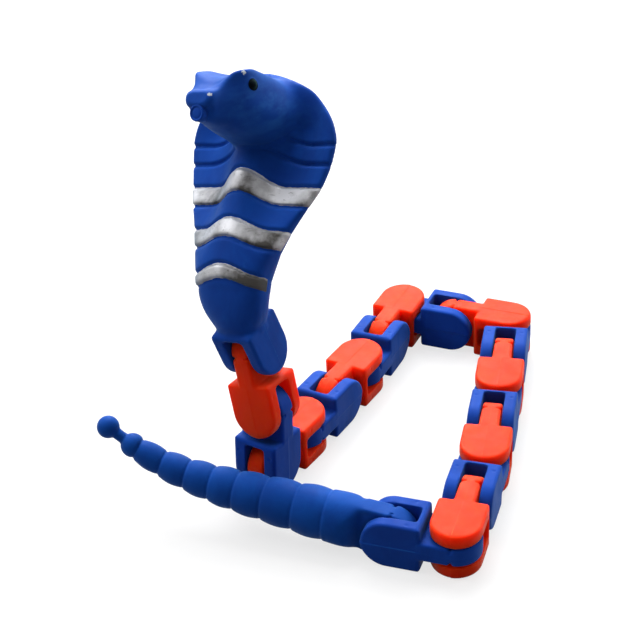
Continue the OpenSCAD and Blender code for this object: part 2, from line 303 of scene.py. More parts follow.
def rib_rise(g):
    """How far the front stands proud at height g along the hood's edge."""
    rise = 0.0
    for lo, hi in zip(GROOVES, GROOVES[1:]):
        high, fall = (SILVER_RISE, SILVER_FALL) if (lo, hi) in SILVER else (BLUE_RISE, BLUE_FALL)
        if lo <= g < hi:
            shape = step_up(g - lo, 0.0, RIB_START) * step_up(hi - g, 0.0, fall)
            rise = high * shape - GROOVE_DEPTH * (1 - shape)
    if g >= GROOVES[-1]:
        shape = step_up(g - GROOVES[-1], 0.0, RIB_START)
        rise = (BLUE_RISE * shape - GROOVE_DEPTH * (1 - shape)) * (1 - step_up(g, *LAST_RIB_END))
    if g < GROOVES[0]:
        rise = -GROOVE_DEPTH * np.exp(-((g - GROOVES[0]) / GROOVE_SPREAD) ** 2)
    return rise


def wing_cup(side, h):
    """How far the wings of the hood are pushed back in their middle."""
    return CUP * np.exp(-((np.abs(side) - CUP_SIDE) / CUP_SPREAD_SIDE) ** 2
                        - ((h - CUP_UP) / CUP_SPREAD_UP) ** 2)


def chevron(side, h):
    half = np.interp(h, *zip(*PEAK_HALF))
    return peak_at(h) * (1 + np.cos(math.pi * np.minimum(1, np.abs(side) / half))) / 2


def hood_rings():
    """Rings of the hood in the fork's frame, from its foot to its top."""
    closer = np.sin(np.linspace(0, math.pi / 2, TOP_COUNT))
    top = HOOD_TOP - TOP_ROWS * (1 - closer) - TOP_GAP
    low = np.arange(HOOD_FOOT, HOOD_TOP - (TOP_ROWS + 2 * TOP_GAP), ROW_STEP)
    heights = np.concatenate([low, top])
    t = np.linspace(0, 2 * math.pi, AROUND, endpoint=False)
    c, s = np.cos(t), np.sin(t)
    rings = []
    for h in heights:
        w, f, e, b = hood_width(h), front_at(h), edge_at(h), back_at(h)
        # the back and the belly draw in towards the rim at the very top
        near_top = max(0, h - HOOD_TOP + TOP_ROUND) / TOP_ROUND
        close = math.sqrt(max(TOP_LEAST, 1 - near_top ** 2))
        f, b = e + (f - e) * close, e + (b - e) * close
        # from an oval low down to a belly and a spine between flat wings
        k = step_up(h, *SPREAD)
        x = w * c
        belly = ((1 - k) + k * np.exp(-np.abs(x / BELLY_HALF) ** BELLY_POWER)) * np.abs(s)
        spread = (1 - k) * np.abs(s) + k * (1 + np.cos(math.pi * c)) / 2
        thick = RIM_HALF * close * np.sign(s) * np.abs(s) ** RIM_POWER
        rib = rib_rise(h)
        ribbed = rib * np.minimum(1, s * RIB_SLOPE + RIB_AT_RIM)
        fore = np.where(s >= 0, e + (f - e) * belly + thick + ribbed,
                        e - (e - b) * spread + thick) - wing_cup(x, h)
        # the ribs show a little in the outline, and each ring peaks in the middle of the front
        tip = 1 + rib * RIB_OUTLINE / w
        hh = h + np.where(s >= 0, chevron(x, h), 0)
        lean = np.radians(LEAN * np.clip((hh - HOOD_FOOT) / (ARC_TOP - HOOD_FOOT), 0, 1))
        run = np.maximum(hh - ARC_TOP, 0)
        sw = -SPINE_R * (1 - np.cos(lean)) - run * math.sin(math.radians(LEAN))
        su = SPINE_START + SPINE_R * np.sin(lean) + run * math.cos(math.radians(LEAN))
        rings.append(np.stack([x * tip, -sw - fore * np.cos(lean), su + fore * np.sin(lean)], 1))
    foot = [rings[0] - [0, 0, drop] for drop in FOOT_DROPS]
    return np.array(foot + rings)


# Head: half sections across the way it looks, [distance forward, points from crown to throat]
SECTIONS = [
    (5, [(0, 60.2), (5.6, 59.8), (8.8, 57.6), (10.6, 55),
     (10.6, 53), (8.8, 51), (5, 46.8), (0, 43.6)]),
    (7.6, [(0, 61.7), (7.1, 61.6), (10.3, 59.5), (12.2, 55.9),
     (12.6, 52.8), (9.6, 50.6), (5, 46.6), (0, 43.6)]),
    (8.8, [(0, 61.7), (7.2, 61.9), (10.4, 59.7), (11.8, 55.9),
     (11.6, 52.4), (9, 49.8), (4.7, 46.2), (0, 43.9)]),
    (10.4, [(0, 61.5), (6.4, 61.7), (9.4, 59.6), (10.8, 56),
     (10.8, 52), (8.2, 48.8), (4.3, 45.8), (0, 44.3)]),
    (13, [(0, 61.2), (5.2, 61.4), (8, 59.7), (9.6, 56.1),
     (9.8, 51.6), (7.2, 47.8), (3.8, 45.5), (0, 44.8)]),
    (18, [(0, 60.6), (4, 61), (6.8, 60.4), (8.6, 57),
     (9, 51.4), (6.2, 47.4), (3, 46), (0, 45.6)]),
    (23, [(0, 59), (3.8, 60.1), (6.5, 60.4), (7.8, 57.2),
     (7.8, 51.6), (5.4, 47.7), (2.7, 46.3), (0, 46)]),
    (26.4, [(0, 57.9), (4, 59), (7, 59.5), (7.1, 56.4),
     (6.4, 51.4), (4.6, 47.9), (2.3, 46.6), (0, 46.3)]),
    (29, [(0, 56.2), (3.3, 57.3), (5.7, 58.3), (5.4, 55.4),
     (5, 51.2), (3.8, 48), (2.1, 46.6), (0, 46.3)]),
    (30.4, [(0, 54.8), (2.4, 55.2), (4.1, 55.8), (4.5, 54),
     (4.3, 50.8), (3.4, 48), (1.9, 46.6), (0, 46.3)]),
    (31.4, [(0, 54), (2.2, 54.2), (3.7, 54.2), (4.2, 53),
     (4, 50.8), (3.2, 48.2), (1.8, 46.8), (0, 46.5)]),
    (32.3, [(0, 53.4), (2.2, 53.5), (3.7, 53.2), (4.1, 52.2),
     (4, 50.7), (3.3, 49.2), (1.8, 48.6), (0, 48.5)]),
    (33.5, [(0, 52.9), (2, 52.9), (3.3, 52.5), (3.8, 51.7),
     (3.7, 50.4), (3, 49.4), (1.7, 49), (0, 48.9)]),
    (34.2, [(0, 52.2), (1.4, 52.2), (2.4, 51.9), (2.8, 51.3),
     (2.8, 50.6), (2.3, 49.9), (1.3, 49.6), (0, 49.5)])]
EYE = (6.9, -24.6, 56.6)
EYE_R = 1.4
EYE_OUT = 0.9  # from the eye's bulge out to the middle of its paint
EYE_SHAPE = [0.6, 0.95, 1]
STUB = (0, -33.7, 47.6)
STUB_R = 1.95
STUB_TILT = 13
HEAD_VOXEL = 0.28
NO_SEAM = 9  # distance from the parting line where there is none
# Width of the rounded seam between hood and head, and what it gains between these heights
SEAM_WIDTH, SEAM_GAIN = 0.7, 2.5
SEAM_GAIN_AT = (50, 54)
SEAM_FULL = 0.2  # share of that width in which the rounding is full
SEAM_ROUNDS = 60
FORK_TOP = 8.6  # height at which the CAD's fork goes over into the hood
FORK_BLEND = 0.4
FORK_ROUNDS = 2


def cubic_rows(xs, values, at):
    """Hermite interpolation of rows of values along xs, with slopes that never overshoot."""
    xs = np.asarray(xs, float)
    d = np.diff(values, axis=0) / np.diff(xs)[:, None, None]
    m = np.zeros_like(values)
    m[1:-1] = np.where(d[1:] * d[:-1] > 0, 2 * d[1:] * d[:-1] / (d[1:] + d[:-1] + 1e-12), 0)
    m[0], m[-1] = d[0], d[-1]
    out = []
    for x in at:
        i = min(max(np.searchsorted(xs, x) - 1, 0), len(xs) - 2)
        step = xs[i + 1] - xs[i]
        t = (x - xs[i]) / step
        out.append((2 * t ** 3 - 3 * t ** 2 + 1) * values[i] + (t ** 3 - 2 * t ** 2 + t) * step * m[i]
                   + (3 * t ** 2 - 2 * t ** 3) * values[i + 1] + (t ** 3 - t ** 2) * step * m[i + 1])
    return np.array(out)


def snout_rings(per_point=9, step=0.35):
    """Rings of the head in the hood's frame, smooth through the points of SECTIONS."""
    rows = []
    for _, half in SECTIONS:
        half = np.array(half, float)
        ring = np.vstack([half, half[-2:0:-1] * [-1, 1]])
        n = len(ring)
        fine = []
        for i in range(n):
            a, b, c, d = ring[i - 1], ring[i], ring[(i + 1) % n], ring[(i + 2) % n]
            for t in np.arange(per_point) / per_point:
                fine.append((2 * b + (c - a) * t + (2 * a - 5 * b + 4 * c - d) * t ** 2
                             + (3 * b - a - 3 * c + d) * t ** 3) / 2)
        rows.append(fine)
    dist = [q[0] for q in SECTIONS]
    at = np.linspace(dist[0], dist[-1], int((dist[-1] - dist[0]) / step))
    flat = cubic_rows(dist, np.array(rows), at)
    out = np.zeros((len(at), flat.shape[1], 3))
    out[:, :, 0] = flat[:, :, 0]
    out[:, :, 1] = -at[:, None]
    out[:, :, 2] = flat[:, :, 1]
    return out[:, ::-1]


def head_fork():
    """The fork of the head: the CAD head, cut off just inside the hood's foot and closed."""
    place = piece_frame(HEAD)
    whole = skin_of("head", place, HEAD_VOXEL, 0)
    bm = bmesh.new()
    bm.from_mesh(whole.data)
    bmesh.ops.bisect_plane(bm, geom=bm.verts[:] + bm.edges[:] + bm.faces[:],
                           plane_co=((PITCH - FORK_TOP) * MM, 0, 0), plane_no=(-1, 0, 0),
                           clear_outer=True)
    bmesh.ops.holes_fill(bm, edges=[e for e in bm.edges if e.is_boundary])
    verts, faces = from_bmesh(bm)
    bpy.data.objects.remove(whole)
    return new_object("fork", to_world(verts / MM, place), faces)


def surface_distance(tree, points):
    return np.array([tree.find_nearest(Vector(p))[3] or 0 for p in points]) / MM


def build_head():
    """Hood, head and fork grown into one skin, with a soft seam between hood and head."""
    hood = loft("hood", hood_rings(), FORK)
    snout = loft("snout", snout_rings(), HOOD)
    trees = [BVHTree.FromPolygons([v.co for v in o.data.vertices], face_list(o))
             for o in (hood, snout)]
    eyes = [ball("eye", (side * EYE[0], EYE[1], EYE[2]), EYE_R, HOOD) for side in (-1, 1)]
    skin = remesh(join("head_skin", [hood, snout, head_fork()] + eyes), HEAD_VOXEL)
    co = vertex_array(skin)
    seam = np.maximum(surface_distance(trees[0], co), surface_distance(trees[1], co))
    width = SEAM_WIDTH + SEAM_GAIN * step_up(to_local(co, HOOD)[:, 2], *SEAM_GAIN_AT)
    relax(skin, 1 - step_up(seam / width, SEAM_FULL, 1), SEAM_ROUNDS)
    local = to_local(vertex_array(skin), piece_frame(HEAD))
    fork = step_up(local[:, 0], PITCH - FORK_TOP, PITCH - FORK_TOP + FORK_BLEND)
    relax(skin, 1 - 0.5 * fork, rounds=2, factor=0.4)
    relax(skin, fork, FORK_ROUNDS)
    add_attribute(skin, "seam", np.abs(local[:, 1]) + NO_SEAM * (1 - fork))
    smooth_shade(skin)
    paint_attributes(skin)
    return skin


def build_stub():
    """Round mouth stub, a short peg with a rim round its hollowed end."""
    r = STUB_R
    profile = [(0.01, -5), (r, -5), (r, -1), (r, -0.35), (r - 0.07, -0.12), (r - 0.22, 0),
               (r - 0.4, -0.02), (r - 0.5, -0.14), (r - 0.6, -0.26), (r - 0.75, -0.26),
               (r - 0.95, -0.14), (0.5, -0.1), (0.01, -0.1)]
    place = HOOD @ Matrix.Translation(STUB) @ turn(90 + STUB_TILT, "X")
    stub = lathe("mouth_stub", profile, place)
    smooth_shade(stub)
    return stub


# Paint and wear on the head, with painted light and shade, in the hood's frame, in millimetres
# How dark the silver is along each band, partly worn paint and partly painted reflection and shade,
# from -1 at one end of a band to 1 at the other, lowest band first
BAND_WEAR_AND_SHADE = [[(-1, 0.5), (-0.7, 0.45), (-0.3, 0.15), (0, 0.2), (0.2, 0.55), (0.45, 0.85), (0.8, 1.05),
         (1, 1)],
        [(-1, 0.45), (-0.75, 0.35), (-0.4, 0.1), (0, 0.05), (0.15, 0.2), (0.35, 0.5), (0.6, 0.7),
         (0.8, 0.95), (0.95, 0.85), (1, 0.3)],
        [(-1, 0.15), (-0.85, 0.2), (-0.7, 0.4), (-0.5, 0.6), (-0.3, 0.45), (-0.12, 0.05), (0, 0.3),
         (0.12, 0.55), (0.25, 0.6), (0.4, 0.2), (0.55, -0.1), (0.8, -0.05), (0.95, 0.45)]]
BAND_REACH = 1.5  # height above and below a band that still belongs to it
# The paint keeps this far inside a rib's lower and upper flank, and this far behind the rim
BAND_LOW, BAND_HIGH, BAND_BEHIND = 0.05, 0.1, 0.9
BAND_SLOPE = 1.5  # the distance behind the rim counts this many times
CHEVRON_STEPS = 8
CHIPS = [((6.8, -27.6, 58.6), 0.6), ((3.2, -33.9, 51.8), 0.5)]
CHIP_SHAPE = [0.7, 1, 1]
# a lighter, streaked patch on each cheek: partly scuffs, partly painted light
CHEEK, CHEEK_SHAPE, CHEEK_REACH = (8.5, -19, 52.5), [0.7, 0.75, 1.1], 7
# painted shade in the throat, under the chin
THROAT, THROAT_SHAPE, THROAT_REACH = (2.5, -13.5, 44.5), [0.8, 0.6, 1], 4
OUTSIDE = -9.0  # signed distance where there is no paint near


def paint_attributes(skin):
    """Signed distances in millimetres to the edges of what is painted, how dark the silver is (partly
    wear, partly painted reflection and shade), and masks for the painted light on the cheeks and the
    painted shade in the throat.
    """
    p = to_local(vertex_array(skin), HOOD)
    side, fore, h = p[:, 0], -p[:, 1] - SPINE_N, p[:, 2]
    low = to_local(vertex_array(skin), FORK)
    # below the straight part, height follows the arc of the spine
    arc = np.degrees(np.arctan2(low[:, 2] - SPINE_START, SPINE_R - low[:, 1]))
    bent = HOOD_FOOT + np.clip(arc, 0, LEAN) / LEAN * (ARC_TOP - HOOD_FOOT)
    h = np.where(h < ARC_TOP, bent, h)
    # height along the hood's edge, found step by step because the chevron is added to it
    g = h.copy()
    for _ in range(CHEVRON_STEPS):
        g = h - chevron(side, g)
    across = side / hood_width(np.clip(h, HOOD_FOOT, 60))
    silver = np.full(len(g), OUTSIDE)
    # how dark the silver is along each band: partly wear, partly painted reflection and shade
    band_wear_and_shade = np.zeros(len(g))
    climb = np.zeros(len(g))
    for (lo, hi), points in zip(SILVER, BAND_WEAR_AND_SHADE):
        silver = np.maximum(silver, np.minimum(g - lo - BAND_LOW, hi - g - BAND_HIGH))
        near = (g > lo - BAND_REACH) & (g < hi + BAND_REACH)
        band_wear_and_shade = np.where(near, np.interp(across, *zip(*points)), band_wear_and_shade)
        climb = np.where(near, (g - lo) / (hi - lo), climb)
    facing = fore - edge_at(np.clip(h, HOOD_FOOT, 64)) + BAND_BEHIND
    silver = np.minimum(silver, facing * BAND_SLOPE)
    eye = np.full(len(g), OUTSIDE)
    cheek = np.full(len(g), 99.0)
    for s in (-1, 1):
        centre = np.array([s * (EYE[0] + EYE_OUT), EYE[1], EYE[2]])
        eye = np.maximum(eye, EYE_R - np.linalg.norm((p - centre) * EYE_SHAPE, axis=1))
        centre = (s * CHEEK[0], CHEEK[1], CHEEK[2])
        cheek = np.minimum(cheek, np.linalg.norm((p - centre) * CHEEK_SHAPE, axis=1))
    chip = np.full(len(g), OUTSIDE)
    for spot, radius in CHIPS:
        chip = np.maximum(chip, radius - np.linalg.norm((p - spot) * CHIP_SHAPE, axis=1))
    # mask for the painted shade in the throat
    throat = np.linalg.norm((p - THROAT) * THROAT_SHAPE, axis=1)
    add_attribute(skin, "band_wear_and_shade", band_wear_and_shade)
    add_attribute(skin, "climb", climb)
    add_attribute(skin, "cheek", np.exp(-(cheek / CHEEK_REACH) ** 2))
    add_attribute(skin, "throat", np.exp(-(throat / THROAT_REACH) ** 2))
    add_attribute(skin, "silver", silver)
    add_attribute(skin, "eye", eye)
    add_attribute(skin, "chip", chip)


# Links and tail, in millimetres
LINK_VOXEL = 0.25
LINK_ROUNDS = 3
OUTER_FACE = (5.2, 5.6)  # over this distance from the middle the outer faces of the ears begin
BODY_START = (SHOULDER - 0.5, SHOULDER + 0.5)
FLAT_END, ROUND_END = (PITCH + 2, PITCH + 5), (PITCH + 4.5, PITCH + 5.5)
LEDGE = 0.06  # step between the two halves of the mould
WORN_LEDGE = -0.15
WORN_MOULD = (2, 12, 16)  # the links from the more worn mould
MOULD_STEP = (-0.15, 0.1)
FAINT = 0.1
# Depth and width of the nicks in a tongue's rim, and where they begin and end across it
NICK, NICK_WIDTH = 0.55, 0.42
NICK_DOWN = 0.5  # share of the depth that it also goes in from the rim
NICK_RIM, NICK_START, NICK_END = (4.4, 5.1), (0.9, 1.6), (2.6, 2.9)
TAIL_VOXEL = 0.22
TAIL_ROUNDS = 2
ROOT_START, ROOT_STOP = (6.2, 7.2), (14.2, 15.0)
ROOT_ROUNDS = 70
# Beads of the tail from its root on: length, and turn at the end; the groove round each joint
ROOT_END = 15.3
BEAD_LENGTHS = [7.6, 7.7, 7.1, 6.2, 6.3, 6.5, 6.7, 0]
BEAD_TURNS = [-1, -0.4, 0, -2, -3.5, -6, -8.5, -9]
BEAD_GROOVE, BEAD_GROOVE_SPREAD = 0.22, 0.32
BEAD_REACH = 8


def nicked(local):
    """Points of a piece whose click grooves break through the rim of its tongue."""
    side, rim = np.abs(local[:, 1]), np.abs(local[:, 2])
    cut = np.exp(-(local[:, 0] / NICK_WIDTH) ** 2) * step_up(rim, *NICK_RIM)
    cut = cut * step_up(side, *NICK_START)
    cut = cut * (1 - step_up(side, *NICK_END))
    return local - np.stack([0 * cut, NICK * cut * np.sign(local[:, 1]),
                             NICK_DOWN * NICK * cut * np.sign(local[:, 2])], 1)


def build_links():
    pattern = skin_of("link_10", piece_frame(BASE_LINK), LINK_VOXEL, LINK_ROUNDS)
    local = vertex_array(pattern) / MM
    faces = face_list(pattern)
    bpy.data.objects.remove(pattern)
    # the two halves of the mould stand a little apart on the outer faces of the fork
    along = local[:, 0]
    outer = step_up(np.abs(local[:, 2]), *OUTER_FACE) * step_up(along, *BODY_START)
    half = step_up(local[:, 1], *MOULD_STEP) - 0.5
    round_end = step_up(along, *ROUND_END)
    flat = outer * (1 - step_up(along, *FLAT_END))
    local = nicked(local)
    out = {}
    for i in LINKS:
        name = "link_%02d" % i
        worn = i in WORN_MOULD
        ledge = WORN_LEDGE if worn else LEDGE
        shape = local.copy()
        shape[:, 2] += np.sign(local[:, 2]) * outer * ledge * half
        shape[:, 0] += round_end * ledge * half
        link = new_object(name + "_skin", to_world(shape, piece_frame(i)), faces)
        add_attribute(link, "seam", np.abs(local[:, 1]) + (0 if worn else flat * FAINT))
        smooth_shade(link)
        out[name] = link
    return out


def build_tail():
    place = piece_frame(TAIL)
    tail = skin_of("tail", place, TAIL_VOXEL, TAIL_ROUNDS)
    local = nicked(vertex_array(tail) / MM)
    tail.data.vertices.foreach_set("co", (local * MM).ravel())
    root = step_up(local[:, 0], *ROOT_START) * (1 - step_up(local[:, 0], *ROOT_STOP))
    relax(tail, root, ROOT_ROUNDS)
    local = vertex_array(tail) / MM
    bead = Matrix.Translation((ROOT_END, 0, 0))
    for length, angle in zip(BEAD_LENGTHS, BEAD_TURNS):
        q = moved(local, bead.inverted())
        radius = np.hypot(q[:, 1], q[:, 2])
        cut = BEAD_GROOVE * np.exp(-(q[:, 0] / BEAD_GROOVE_SPREAD) ** 2) * (radius < BEAD_REACH)
        inward = np.stack([np.zeros(len(q)), -q[:, 1], -q[:, 2]], 1) / radius.clip(0.1)[:, None]
        local = local + (inward * cut[:, None]) @ np.array(bead)[:3, :3].T
        bead = bead @ turn(angle, "Y") @ Matrix.Translation((length, 0, 0))
    tail.data.vertices.foreach_set("co", to_world(local, place).ravel())
    tail.data.update()
    add_attribute(tail, "seam", np.full(len(local), float(NO_SEAM)))
    smooth_shade(tail)
    return tail


# Materials
class Graph:
    """A material's nodes, on a Principled shader and the object's own coordinates."""

    def __init__(self, name):
        self.material = bpy.data.materials.new(name)
        self.material.use_nodes = True
        self.tree = self.material.node_tree
        self.bsdf = self.tree.nodes["Principled BSDF"]
        self.coord = self.node("ShaderNodeTexCoord").outputs["Object"]

    def node(self, kind, **settings):
        n = self.tree.nodes.new(kind)
        for key, value in settings.items():
            setattr(n, key, value)
        return n

    def link(self, source, target):
        self.tree.links.new(source, target)

    def put(self, socket, value):
        if isinstance(value, bpy.types.NodeSocket):
            self.link(value, socket)
        else:
            socket.default_value = value

    def noise(self, per_metre, detail=3.0, rough=0.5, stretch=(1, 1, 1), distort=0.0):
        mapping = self.node("ShaderNodeMapping")
        mapping.inputs["Scale"].default_value = stretch
        self.link(self.coord, mapping.inputs["Vector"])
        n = self.node("ShaderNodeTexNoise")
        n.inputs["Scale"].default_value = per_metre
        n.inputs["Detail"].default_value = detail
        n.inputs["Roughness"].default_value = rough
        n.inputs["Distortion"].default_value = distort
        self.link(mapping.outputs[0], n.inputs["Vector"])
        return n.outputs["Fac"]

    def math(self, op, a, b=0.0, clamp=False):
        n = self.node("ShaderNodeMath", operation=op, use_clamp=clamp)
        self.put(n.inputs[0], a)
        self.put(n.inputs[1], b)
        return n.outputs[0]

    def times(self, a, b):
        return self.math("MULTIPLY", a, b)

    def ramp(self, value, lo, hi, out_lo=0.0, out_hi=1.0):
        n = self.node("ShaderNodeMapRange", interpolation_type="SMOOTHSTEP")
        self.put(n.inputs["Value"], value)
        for key, v in (("From Min", lo), ("From Max", hi), ("To Min", out_lo), ("To Max", out_hi)):
            n.inputs[key].default_value = v
        return n.outputs["Result"]

    def mix(self, fac, a, b):
        n = self.node("ShaderNodeMix", data_type="RGBA")
        self.put(n.inputs["Factor"], fac)
        for socket, v in ((n.inputs["A"], a), (n.inputs["B"], b)):
            self.put(socket, v if isinstance(v, bpy.types.NodeSocket) else (*v, 1))
        return n.outputs["Result"]

    def blend(self, fac, a, b):
        n = self.node("ShaderNodeMix", data_type="FLOAT")
        self.put(n.inputs["Factor"], fac)
        self.put(n.inputs["A"], a)
        self.put(n.inputs["B"], b)
        return n.outputs["Result"]

    def attribute(self, name):
        return self.node("ShaderNodeAttribute", attribute_name=name).outputs["Fac"]

    def edges(self, radius):
        """1 on convex and concave edges, 0 on open faces."""
        bevel = self.node("ShaderNodeBevel", samples=6)
        bevel.inputs["Radius"].default_value = radius
        geometry = self.node("ShaderNodeNewGeometry")
        dot = self.node("ShaderNodeVectorMath", operation="DOT_PRODUCT")
        self.link(bevel.outputs[0], dot.inputs[0])
        self.link(geometry.outputs["Normal"], dot.inputs[1])
        return self.ramp(dot.outputs["Value"], 0.995, 0.9)

    def bump(self, height, strength, distance):
        n = self.node("ShaderNodeBump")
        n.inputs["Strength"].default_value = strength
        n.inputs["Distance"].default_value = distance
        self.link(height, n.inputs["Height"])
        self.link(n.outputs[0], self.bsdf.inputs["Normal"])


# Colours in pits and shade, on open faces, and where they are rubbed or carry painted highlights on
# edges
BLUE = [(0.006, 0.038, 0.285), (0.007, 0.053, 0.365), (0.022, 0.14, 0.50)]
BLUE_HEAD = [(0.006, 0.042, 0.285), (0.007, 0.060, 0.37), (0.022, 0.14, 0.50)]
BLUE_TAIL = [(0.005, 0.047, 0.285), (0.006, 0.066, 0.365), (0.022, 0.14, 0.50)]
ORANGE = [(0.88, 0.02, 0.001), (0.96, 0.03, 0.0015), (0.98, 0.14, 0.03)]
CHEEK_SCUFF_AND_LIGHT = (0.02, 0.12, 0.47)
THROAT_PAINTED_SHADE = (0.001, 0.012, 0.1)
SILVER_BRIGHT, SILVER_DARK = (0.58, 0.58, 0.60), (0.065, 0.058, 0.052)
SILVER_SCRATCH, SILVER_EDGE = (0.06, 0.055, 0.05), (0.10, 0.09, 0.08)
EYE_BLACK = (0.0015, 0.0015, 0.002)
CHIP_WHITE = (0.55, 0.58, 0.62)
SEAM_HALF = 0.16  # half the width of the parting line, in millimetres
SEAM_TONE, SEAM_RELIEF = 0.6, 1.5
SHEEN, SHEEN_ROUGHNESS = 0.1, 0.5
SCATTER_RADIUS, SCATTER_SCALE = (1.0, 0.08, 0.02), 0.005
BUMP_STRENGTH, BUMP_DEPTH = 0.35, 0.00006


def plastic(name, colours, edge_radius=0.00035, scatter=0.0, seam=False,
            specular=0.09, specular_tint=(0.2, 0.4, 1.0), sheen_tint=(0.35, 0.95, 0.8)):
    """Moulded satin plastic: drifts of tone, painted highlights on the edges, fine scuffs and specks.
    """
    deep, main, pale = colours
    g = Graph(name)
    drift = g.noise(90, detail=4, rough=0.6, stretch=(1, 1, 0.6), distort=0.6)
    smear = g.noise(420, detail=5, rough=0.65, stretch=(1, 1, 0.25))
    tone = g.mix(g.ramp(drift, 0.32, 0.68), deep, main)
    # painted highlight: paler on convex and concave edges, by an uneven amount
    uneven = g.ramp(g.noise(700, detail=3), 0.35, 0.65, out_lo=0.15, out_hi=0.6)
    tone = g.mix(g.times(g.edges(edge_radius), uneven), tone, pale)
    tone = g.mix(g.ramp(smear, 0.6, 0.8, out_hi=0.22), tone, pale)
    specks = g.ramp(g.noise(2600, detail=1, rough=0.3), 0.78, 0.82, out_hi=0.5)
    tone = g.mix(specks, tone, deep)
    grain = g.noise(3200, detail=2, rough=0.5)
    height = g.math("ADD", g.times(grain, 0.3), g.times(smear, 0.5))
    if seam:
        line = g.ramp(g.attribute("seam"), 0.0, SEAM_HALF, out_lo=1.0, out_hi=0.0)
        parting = g.times(line, g.ramp(g.noise(240, detail=3), 0.35, 0.6, out_lo=0.3))
        tone = g.mix(g.times(parting, SEAM_TONE), tone, pale)
        height = g.math("ADD", height, g.times(parting, SEAM_RELIEF))
    g.link(tone, g.bsdf.inputs["Base Color"])
    g.link(g.ramp(smear, 0.3, 0.75, out_lo=0.52, out_hi=0.68), g.bsdf.inputs["Roughness"])
    g.bsdf.inputs["Specular IOR Level"].default_value = specular
    g.bsdf.inputs["Specular Tint"].default_value = (*specular_tint, 1)
    g.bsdf.inputs["Sheen Weight"].default_value = SHEEN
    g.bsdf.inputs["Sheen Roughness"].default_value = SHEEN_ROUGHNESS
    g.bsdf.inputs["Sheen Tint"].default_value = (*sheen_tint, 1)
    if scatter:
        g.bsdf.inputs["Subsurface Weight"].default_value = scatter
        g.bsdf.inputs["Subsurface Radius"].default_value = SCATTER_RADIUS
        g.bsdf.inputs["Subsurface Scale"].default_value = SCATTER_SCALE
    g.bump(height, BUMP_STRENGTH, BUMP_DEPTH)
    return g


def head_paint():
    """Blue plastic with worn silver paint on the bands, which also carries painted reflection and
    shade, black paint on the eyes, painted light on the cheeks and painted shade in the throat.
    """
    g = plastic("head_plastic", BLUE_HEAD, edge_radius=0.0003, seam=True)
    bsdf = g.bsdf
    base = bsdf.inputs["Base Color"].links[0].from_socket
    rough = bsdf.inputs["Roughness"].links[0].from_socket
    # where the silver is: a wavering edge, and small chips, most of them near that edge
    wobble = g.times(g.math("SUBTRACT", g.noise(700, detail=3), 0.5), 0.5)
    depth = g.math("ADD", g.attribute("silver"), wobble)
    edge_wear = g.ramp(depth, 0.0, 0.5, out_lo=1.0, out_hi=0.0)
    chips = g.ramp(g.noise(1500, detail=4, rough=0.7), 0.67, 0.72)
    bare = g.math("MULTIPLY", chips, g.math("ADD", edge_wear, 0.25), clamp=True)
    silver = g.times(g.ramp(depth, -0.04, 0.06), g.math("SUBTRACT", 1.0, bare))
    # how dark the silver is, partly tarnish and partly painted light: painted shade low on a band, a
    # painted highlight high on it, worn paint with painted reflection and shade along it, and tarnish
    # clouds and scratches
    cloud = g.noise(230, detail=4, rough=0.58, stretch=(1, 1, 0.6))
    cloud = g.times(g.math("SUBTRACT", cloud, 0.5), 1.7)
    low = g.ramp(g.attribute("climb"), 0.0, 0.4, out_lo=0.35, out_hi=0.0)
    high = g.ramp(g.attribute("climb"), 0.78, 0.95, out_hi=-0.4)
    tarnish_and_shade = g.math("ADD", g.math("ADD", g.attribute("band_wear_and_shade"), cloud), g.math("ADD", low, high),
                     clamp=True)
    scratches = g.ramp(g.noise(1400, detail=3, rough=0.6, stretch=(0.25, 1, 2.2)), 0.62, 0.68)
    metal = g.mix(tarnish_and_shade, SILVER_BRIGHT, SILVER_DARK)
    metal = g.mix(g.times(scratches, 0.55), metal, SILVER_SCRATCH)
    metal = g.mix(g.times(edge_wear, 0.2), metal, SILVER_EDGE)
    # the plastic under it: a lighter, streaked cheek, partly scuffs and partly painted light, and
    # painted shade in the throat under the chin
    streaks = g.noise(260, detail=5, rough=0.55, stretch=(0.7, 0.7, 1.3), distort=0.15)
    cheek_scuff_and_light = g.times(g.times(g.ramp(streaks, 0.36, 0.68), g.attribute("cheek")), 0.85)
    base = g.mix(cheek_scuff_and_light, base, CHEEK_SCUFF_AND_LIGHT)
    base = g.mix(g.times(g.attribute("throat"), 0.5), base, THROAT_PAINTED_SHADE)
    colour = g.mix(silver, base, metal)
    eye = g.ramp(g.attribute("eye"), -0.04, 0.04)
    colour = g.mix(eye, colour, EYE_BLACK)
    ragged = g.times(g.math("SUBTRACT", g.noise(1300, detail=3, rough=0.6), 0.5), 1.6)
    bare_spot = g.ramp(g.math("ADD", g.attribute("chip"), ragged), -0.02, 0.12)
    colour = g.mix(bare_spot, colour, CHIP_WHITE)
    g.link(colour, bsdf.inputs["Base Color"])
    g.link(g.times(silver, 0.45), bsdf.inputs["Metallic"])
    rough = g.blend(silver, rough, g.ramp(tarnish_and_shade, 0, 1, out_lo=0.5, out_hi=0.58))
    g.link(g.blend(eye, rough, 0.9), bsdf.inputs["Roughness"])
    return g


blue = plastic("blue_plastic", BLUE)
blue_tail = plastic("blue_tail_plastic", BLUE_TAIL, edge_radius=0.00015)
blue_link = plastic("blue_link_plastic", BLUE, seam=True)
orange = plastic("orange_plastic", ORANGE, scatter=0.9, seam=True,
                 specular=0.3, specular_tint=(1, 0.2, 0.05), sheen_tint=(1, 0.7, 0.3))
head_material = head_paint()

# Pieces
head_skin = build_head()
mouth_stub = build_stub()
head_skin.data.materials.append(head_material.material)
mouth_stub.data.materials.append(blue.material)
for piece in (head_skin, mouth_stub):
    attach(piece, "head")
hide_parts("head")


def is_orange(name):
    return name.startswith("link_") and int(name[5:]) % 2 == 1


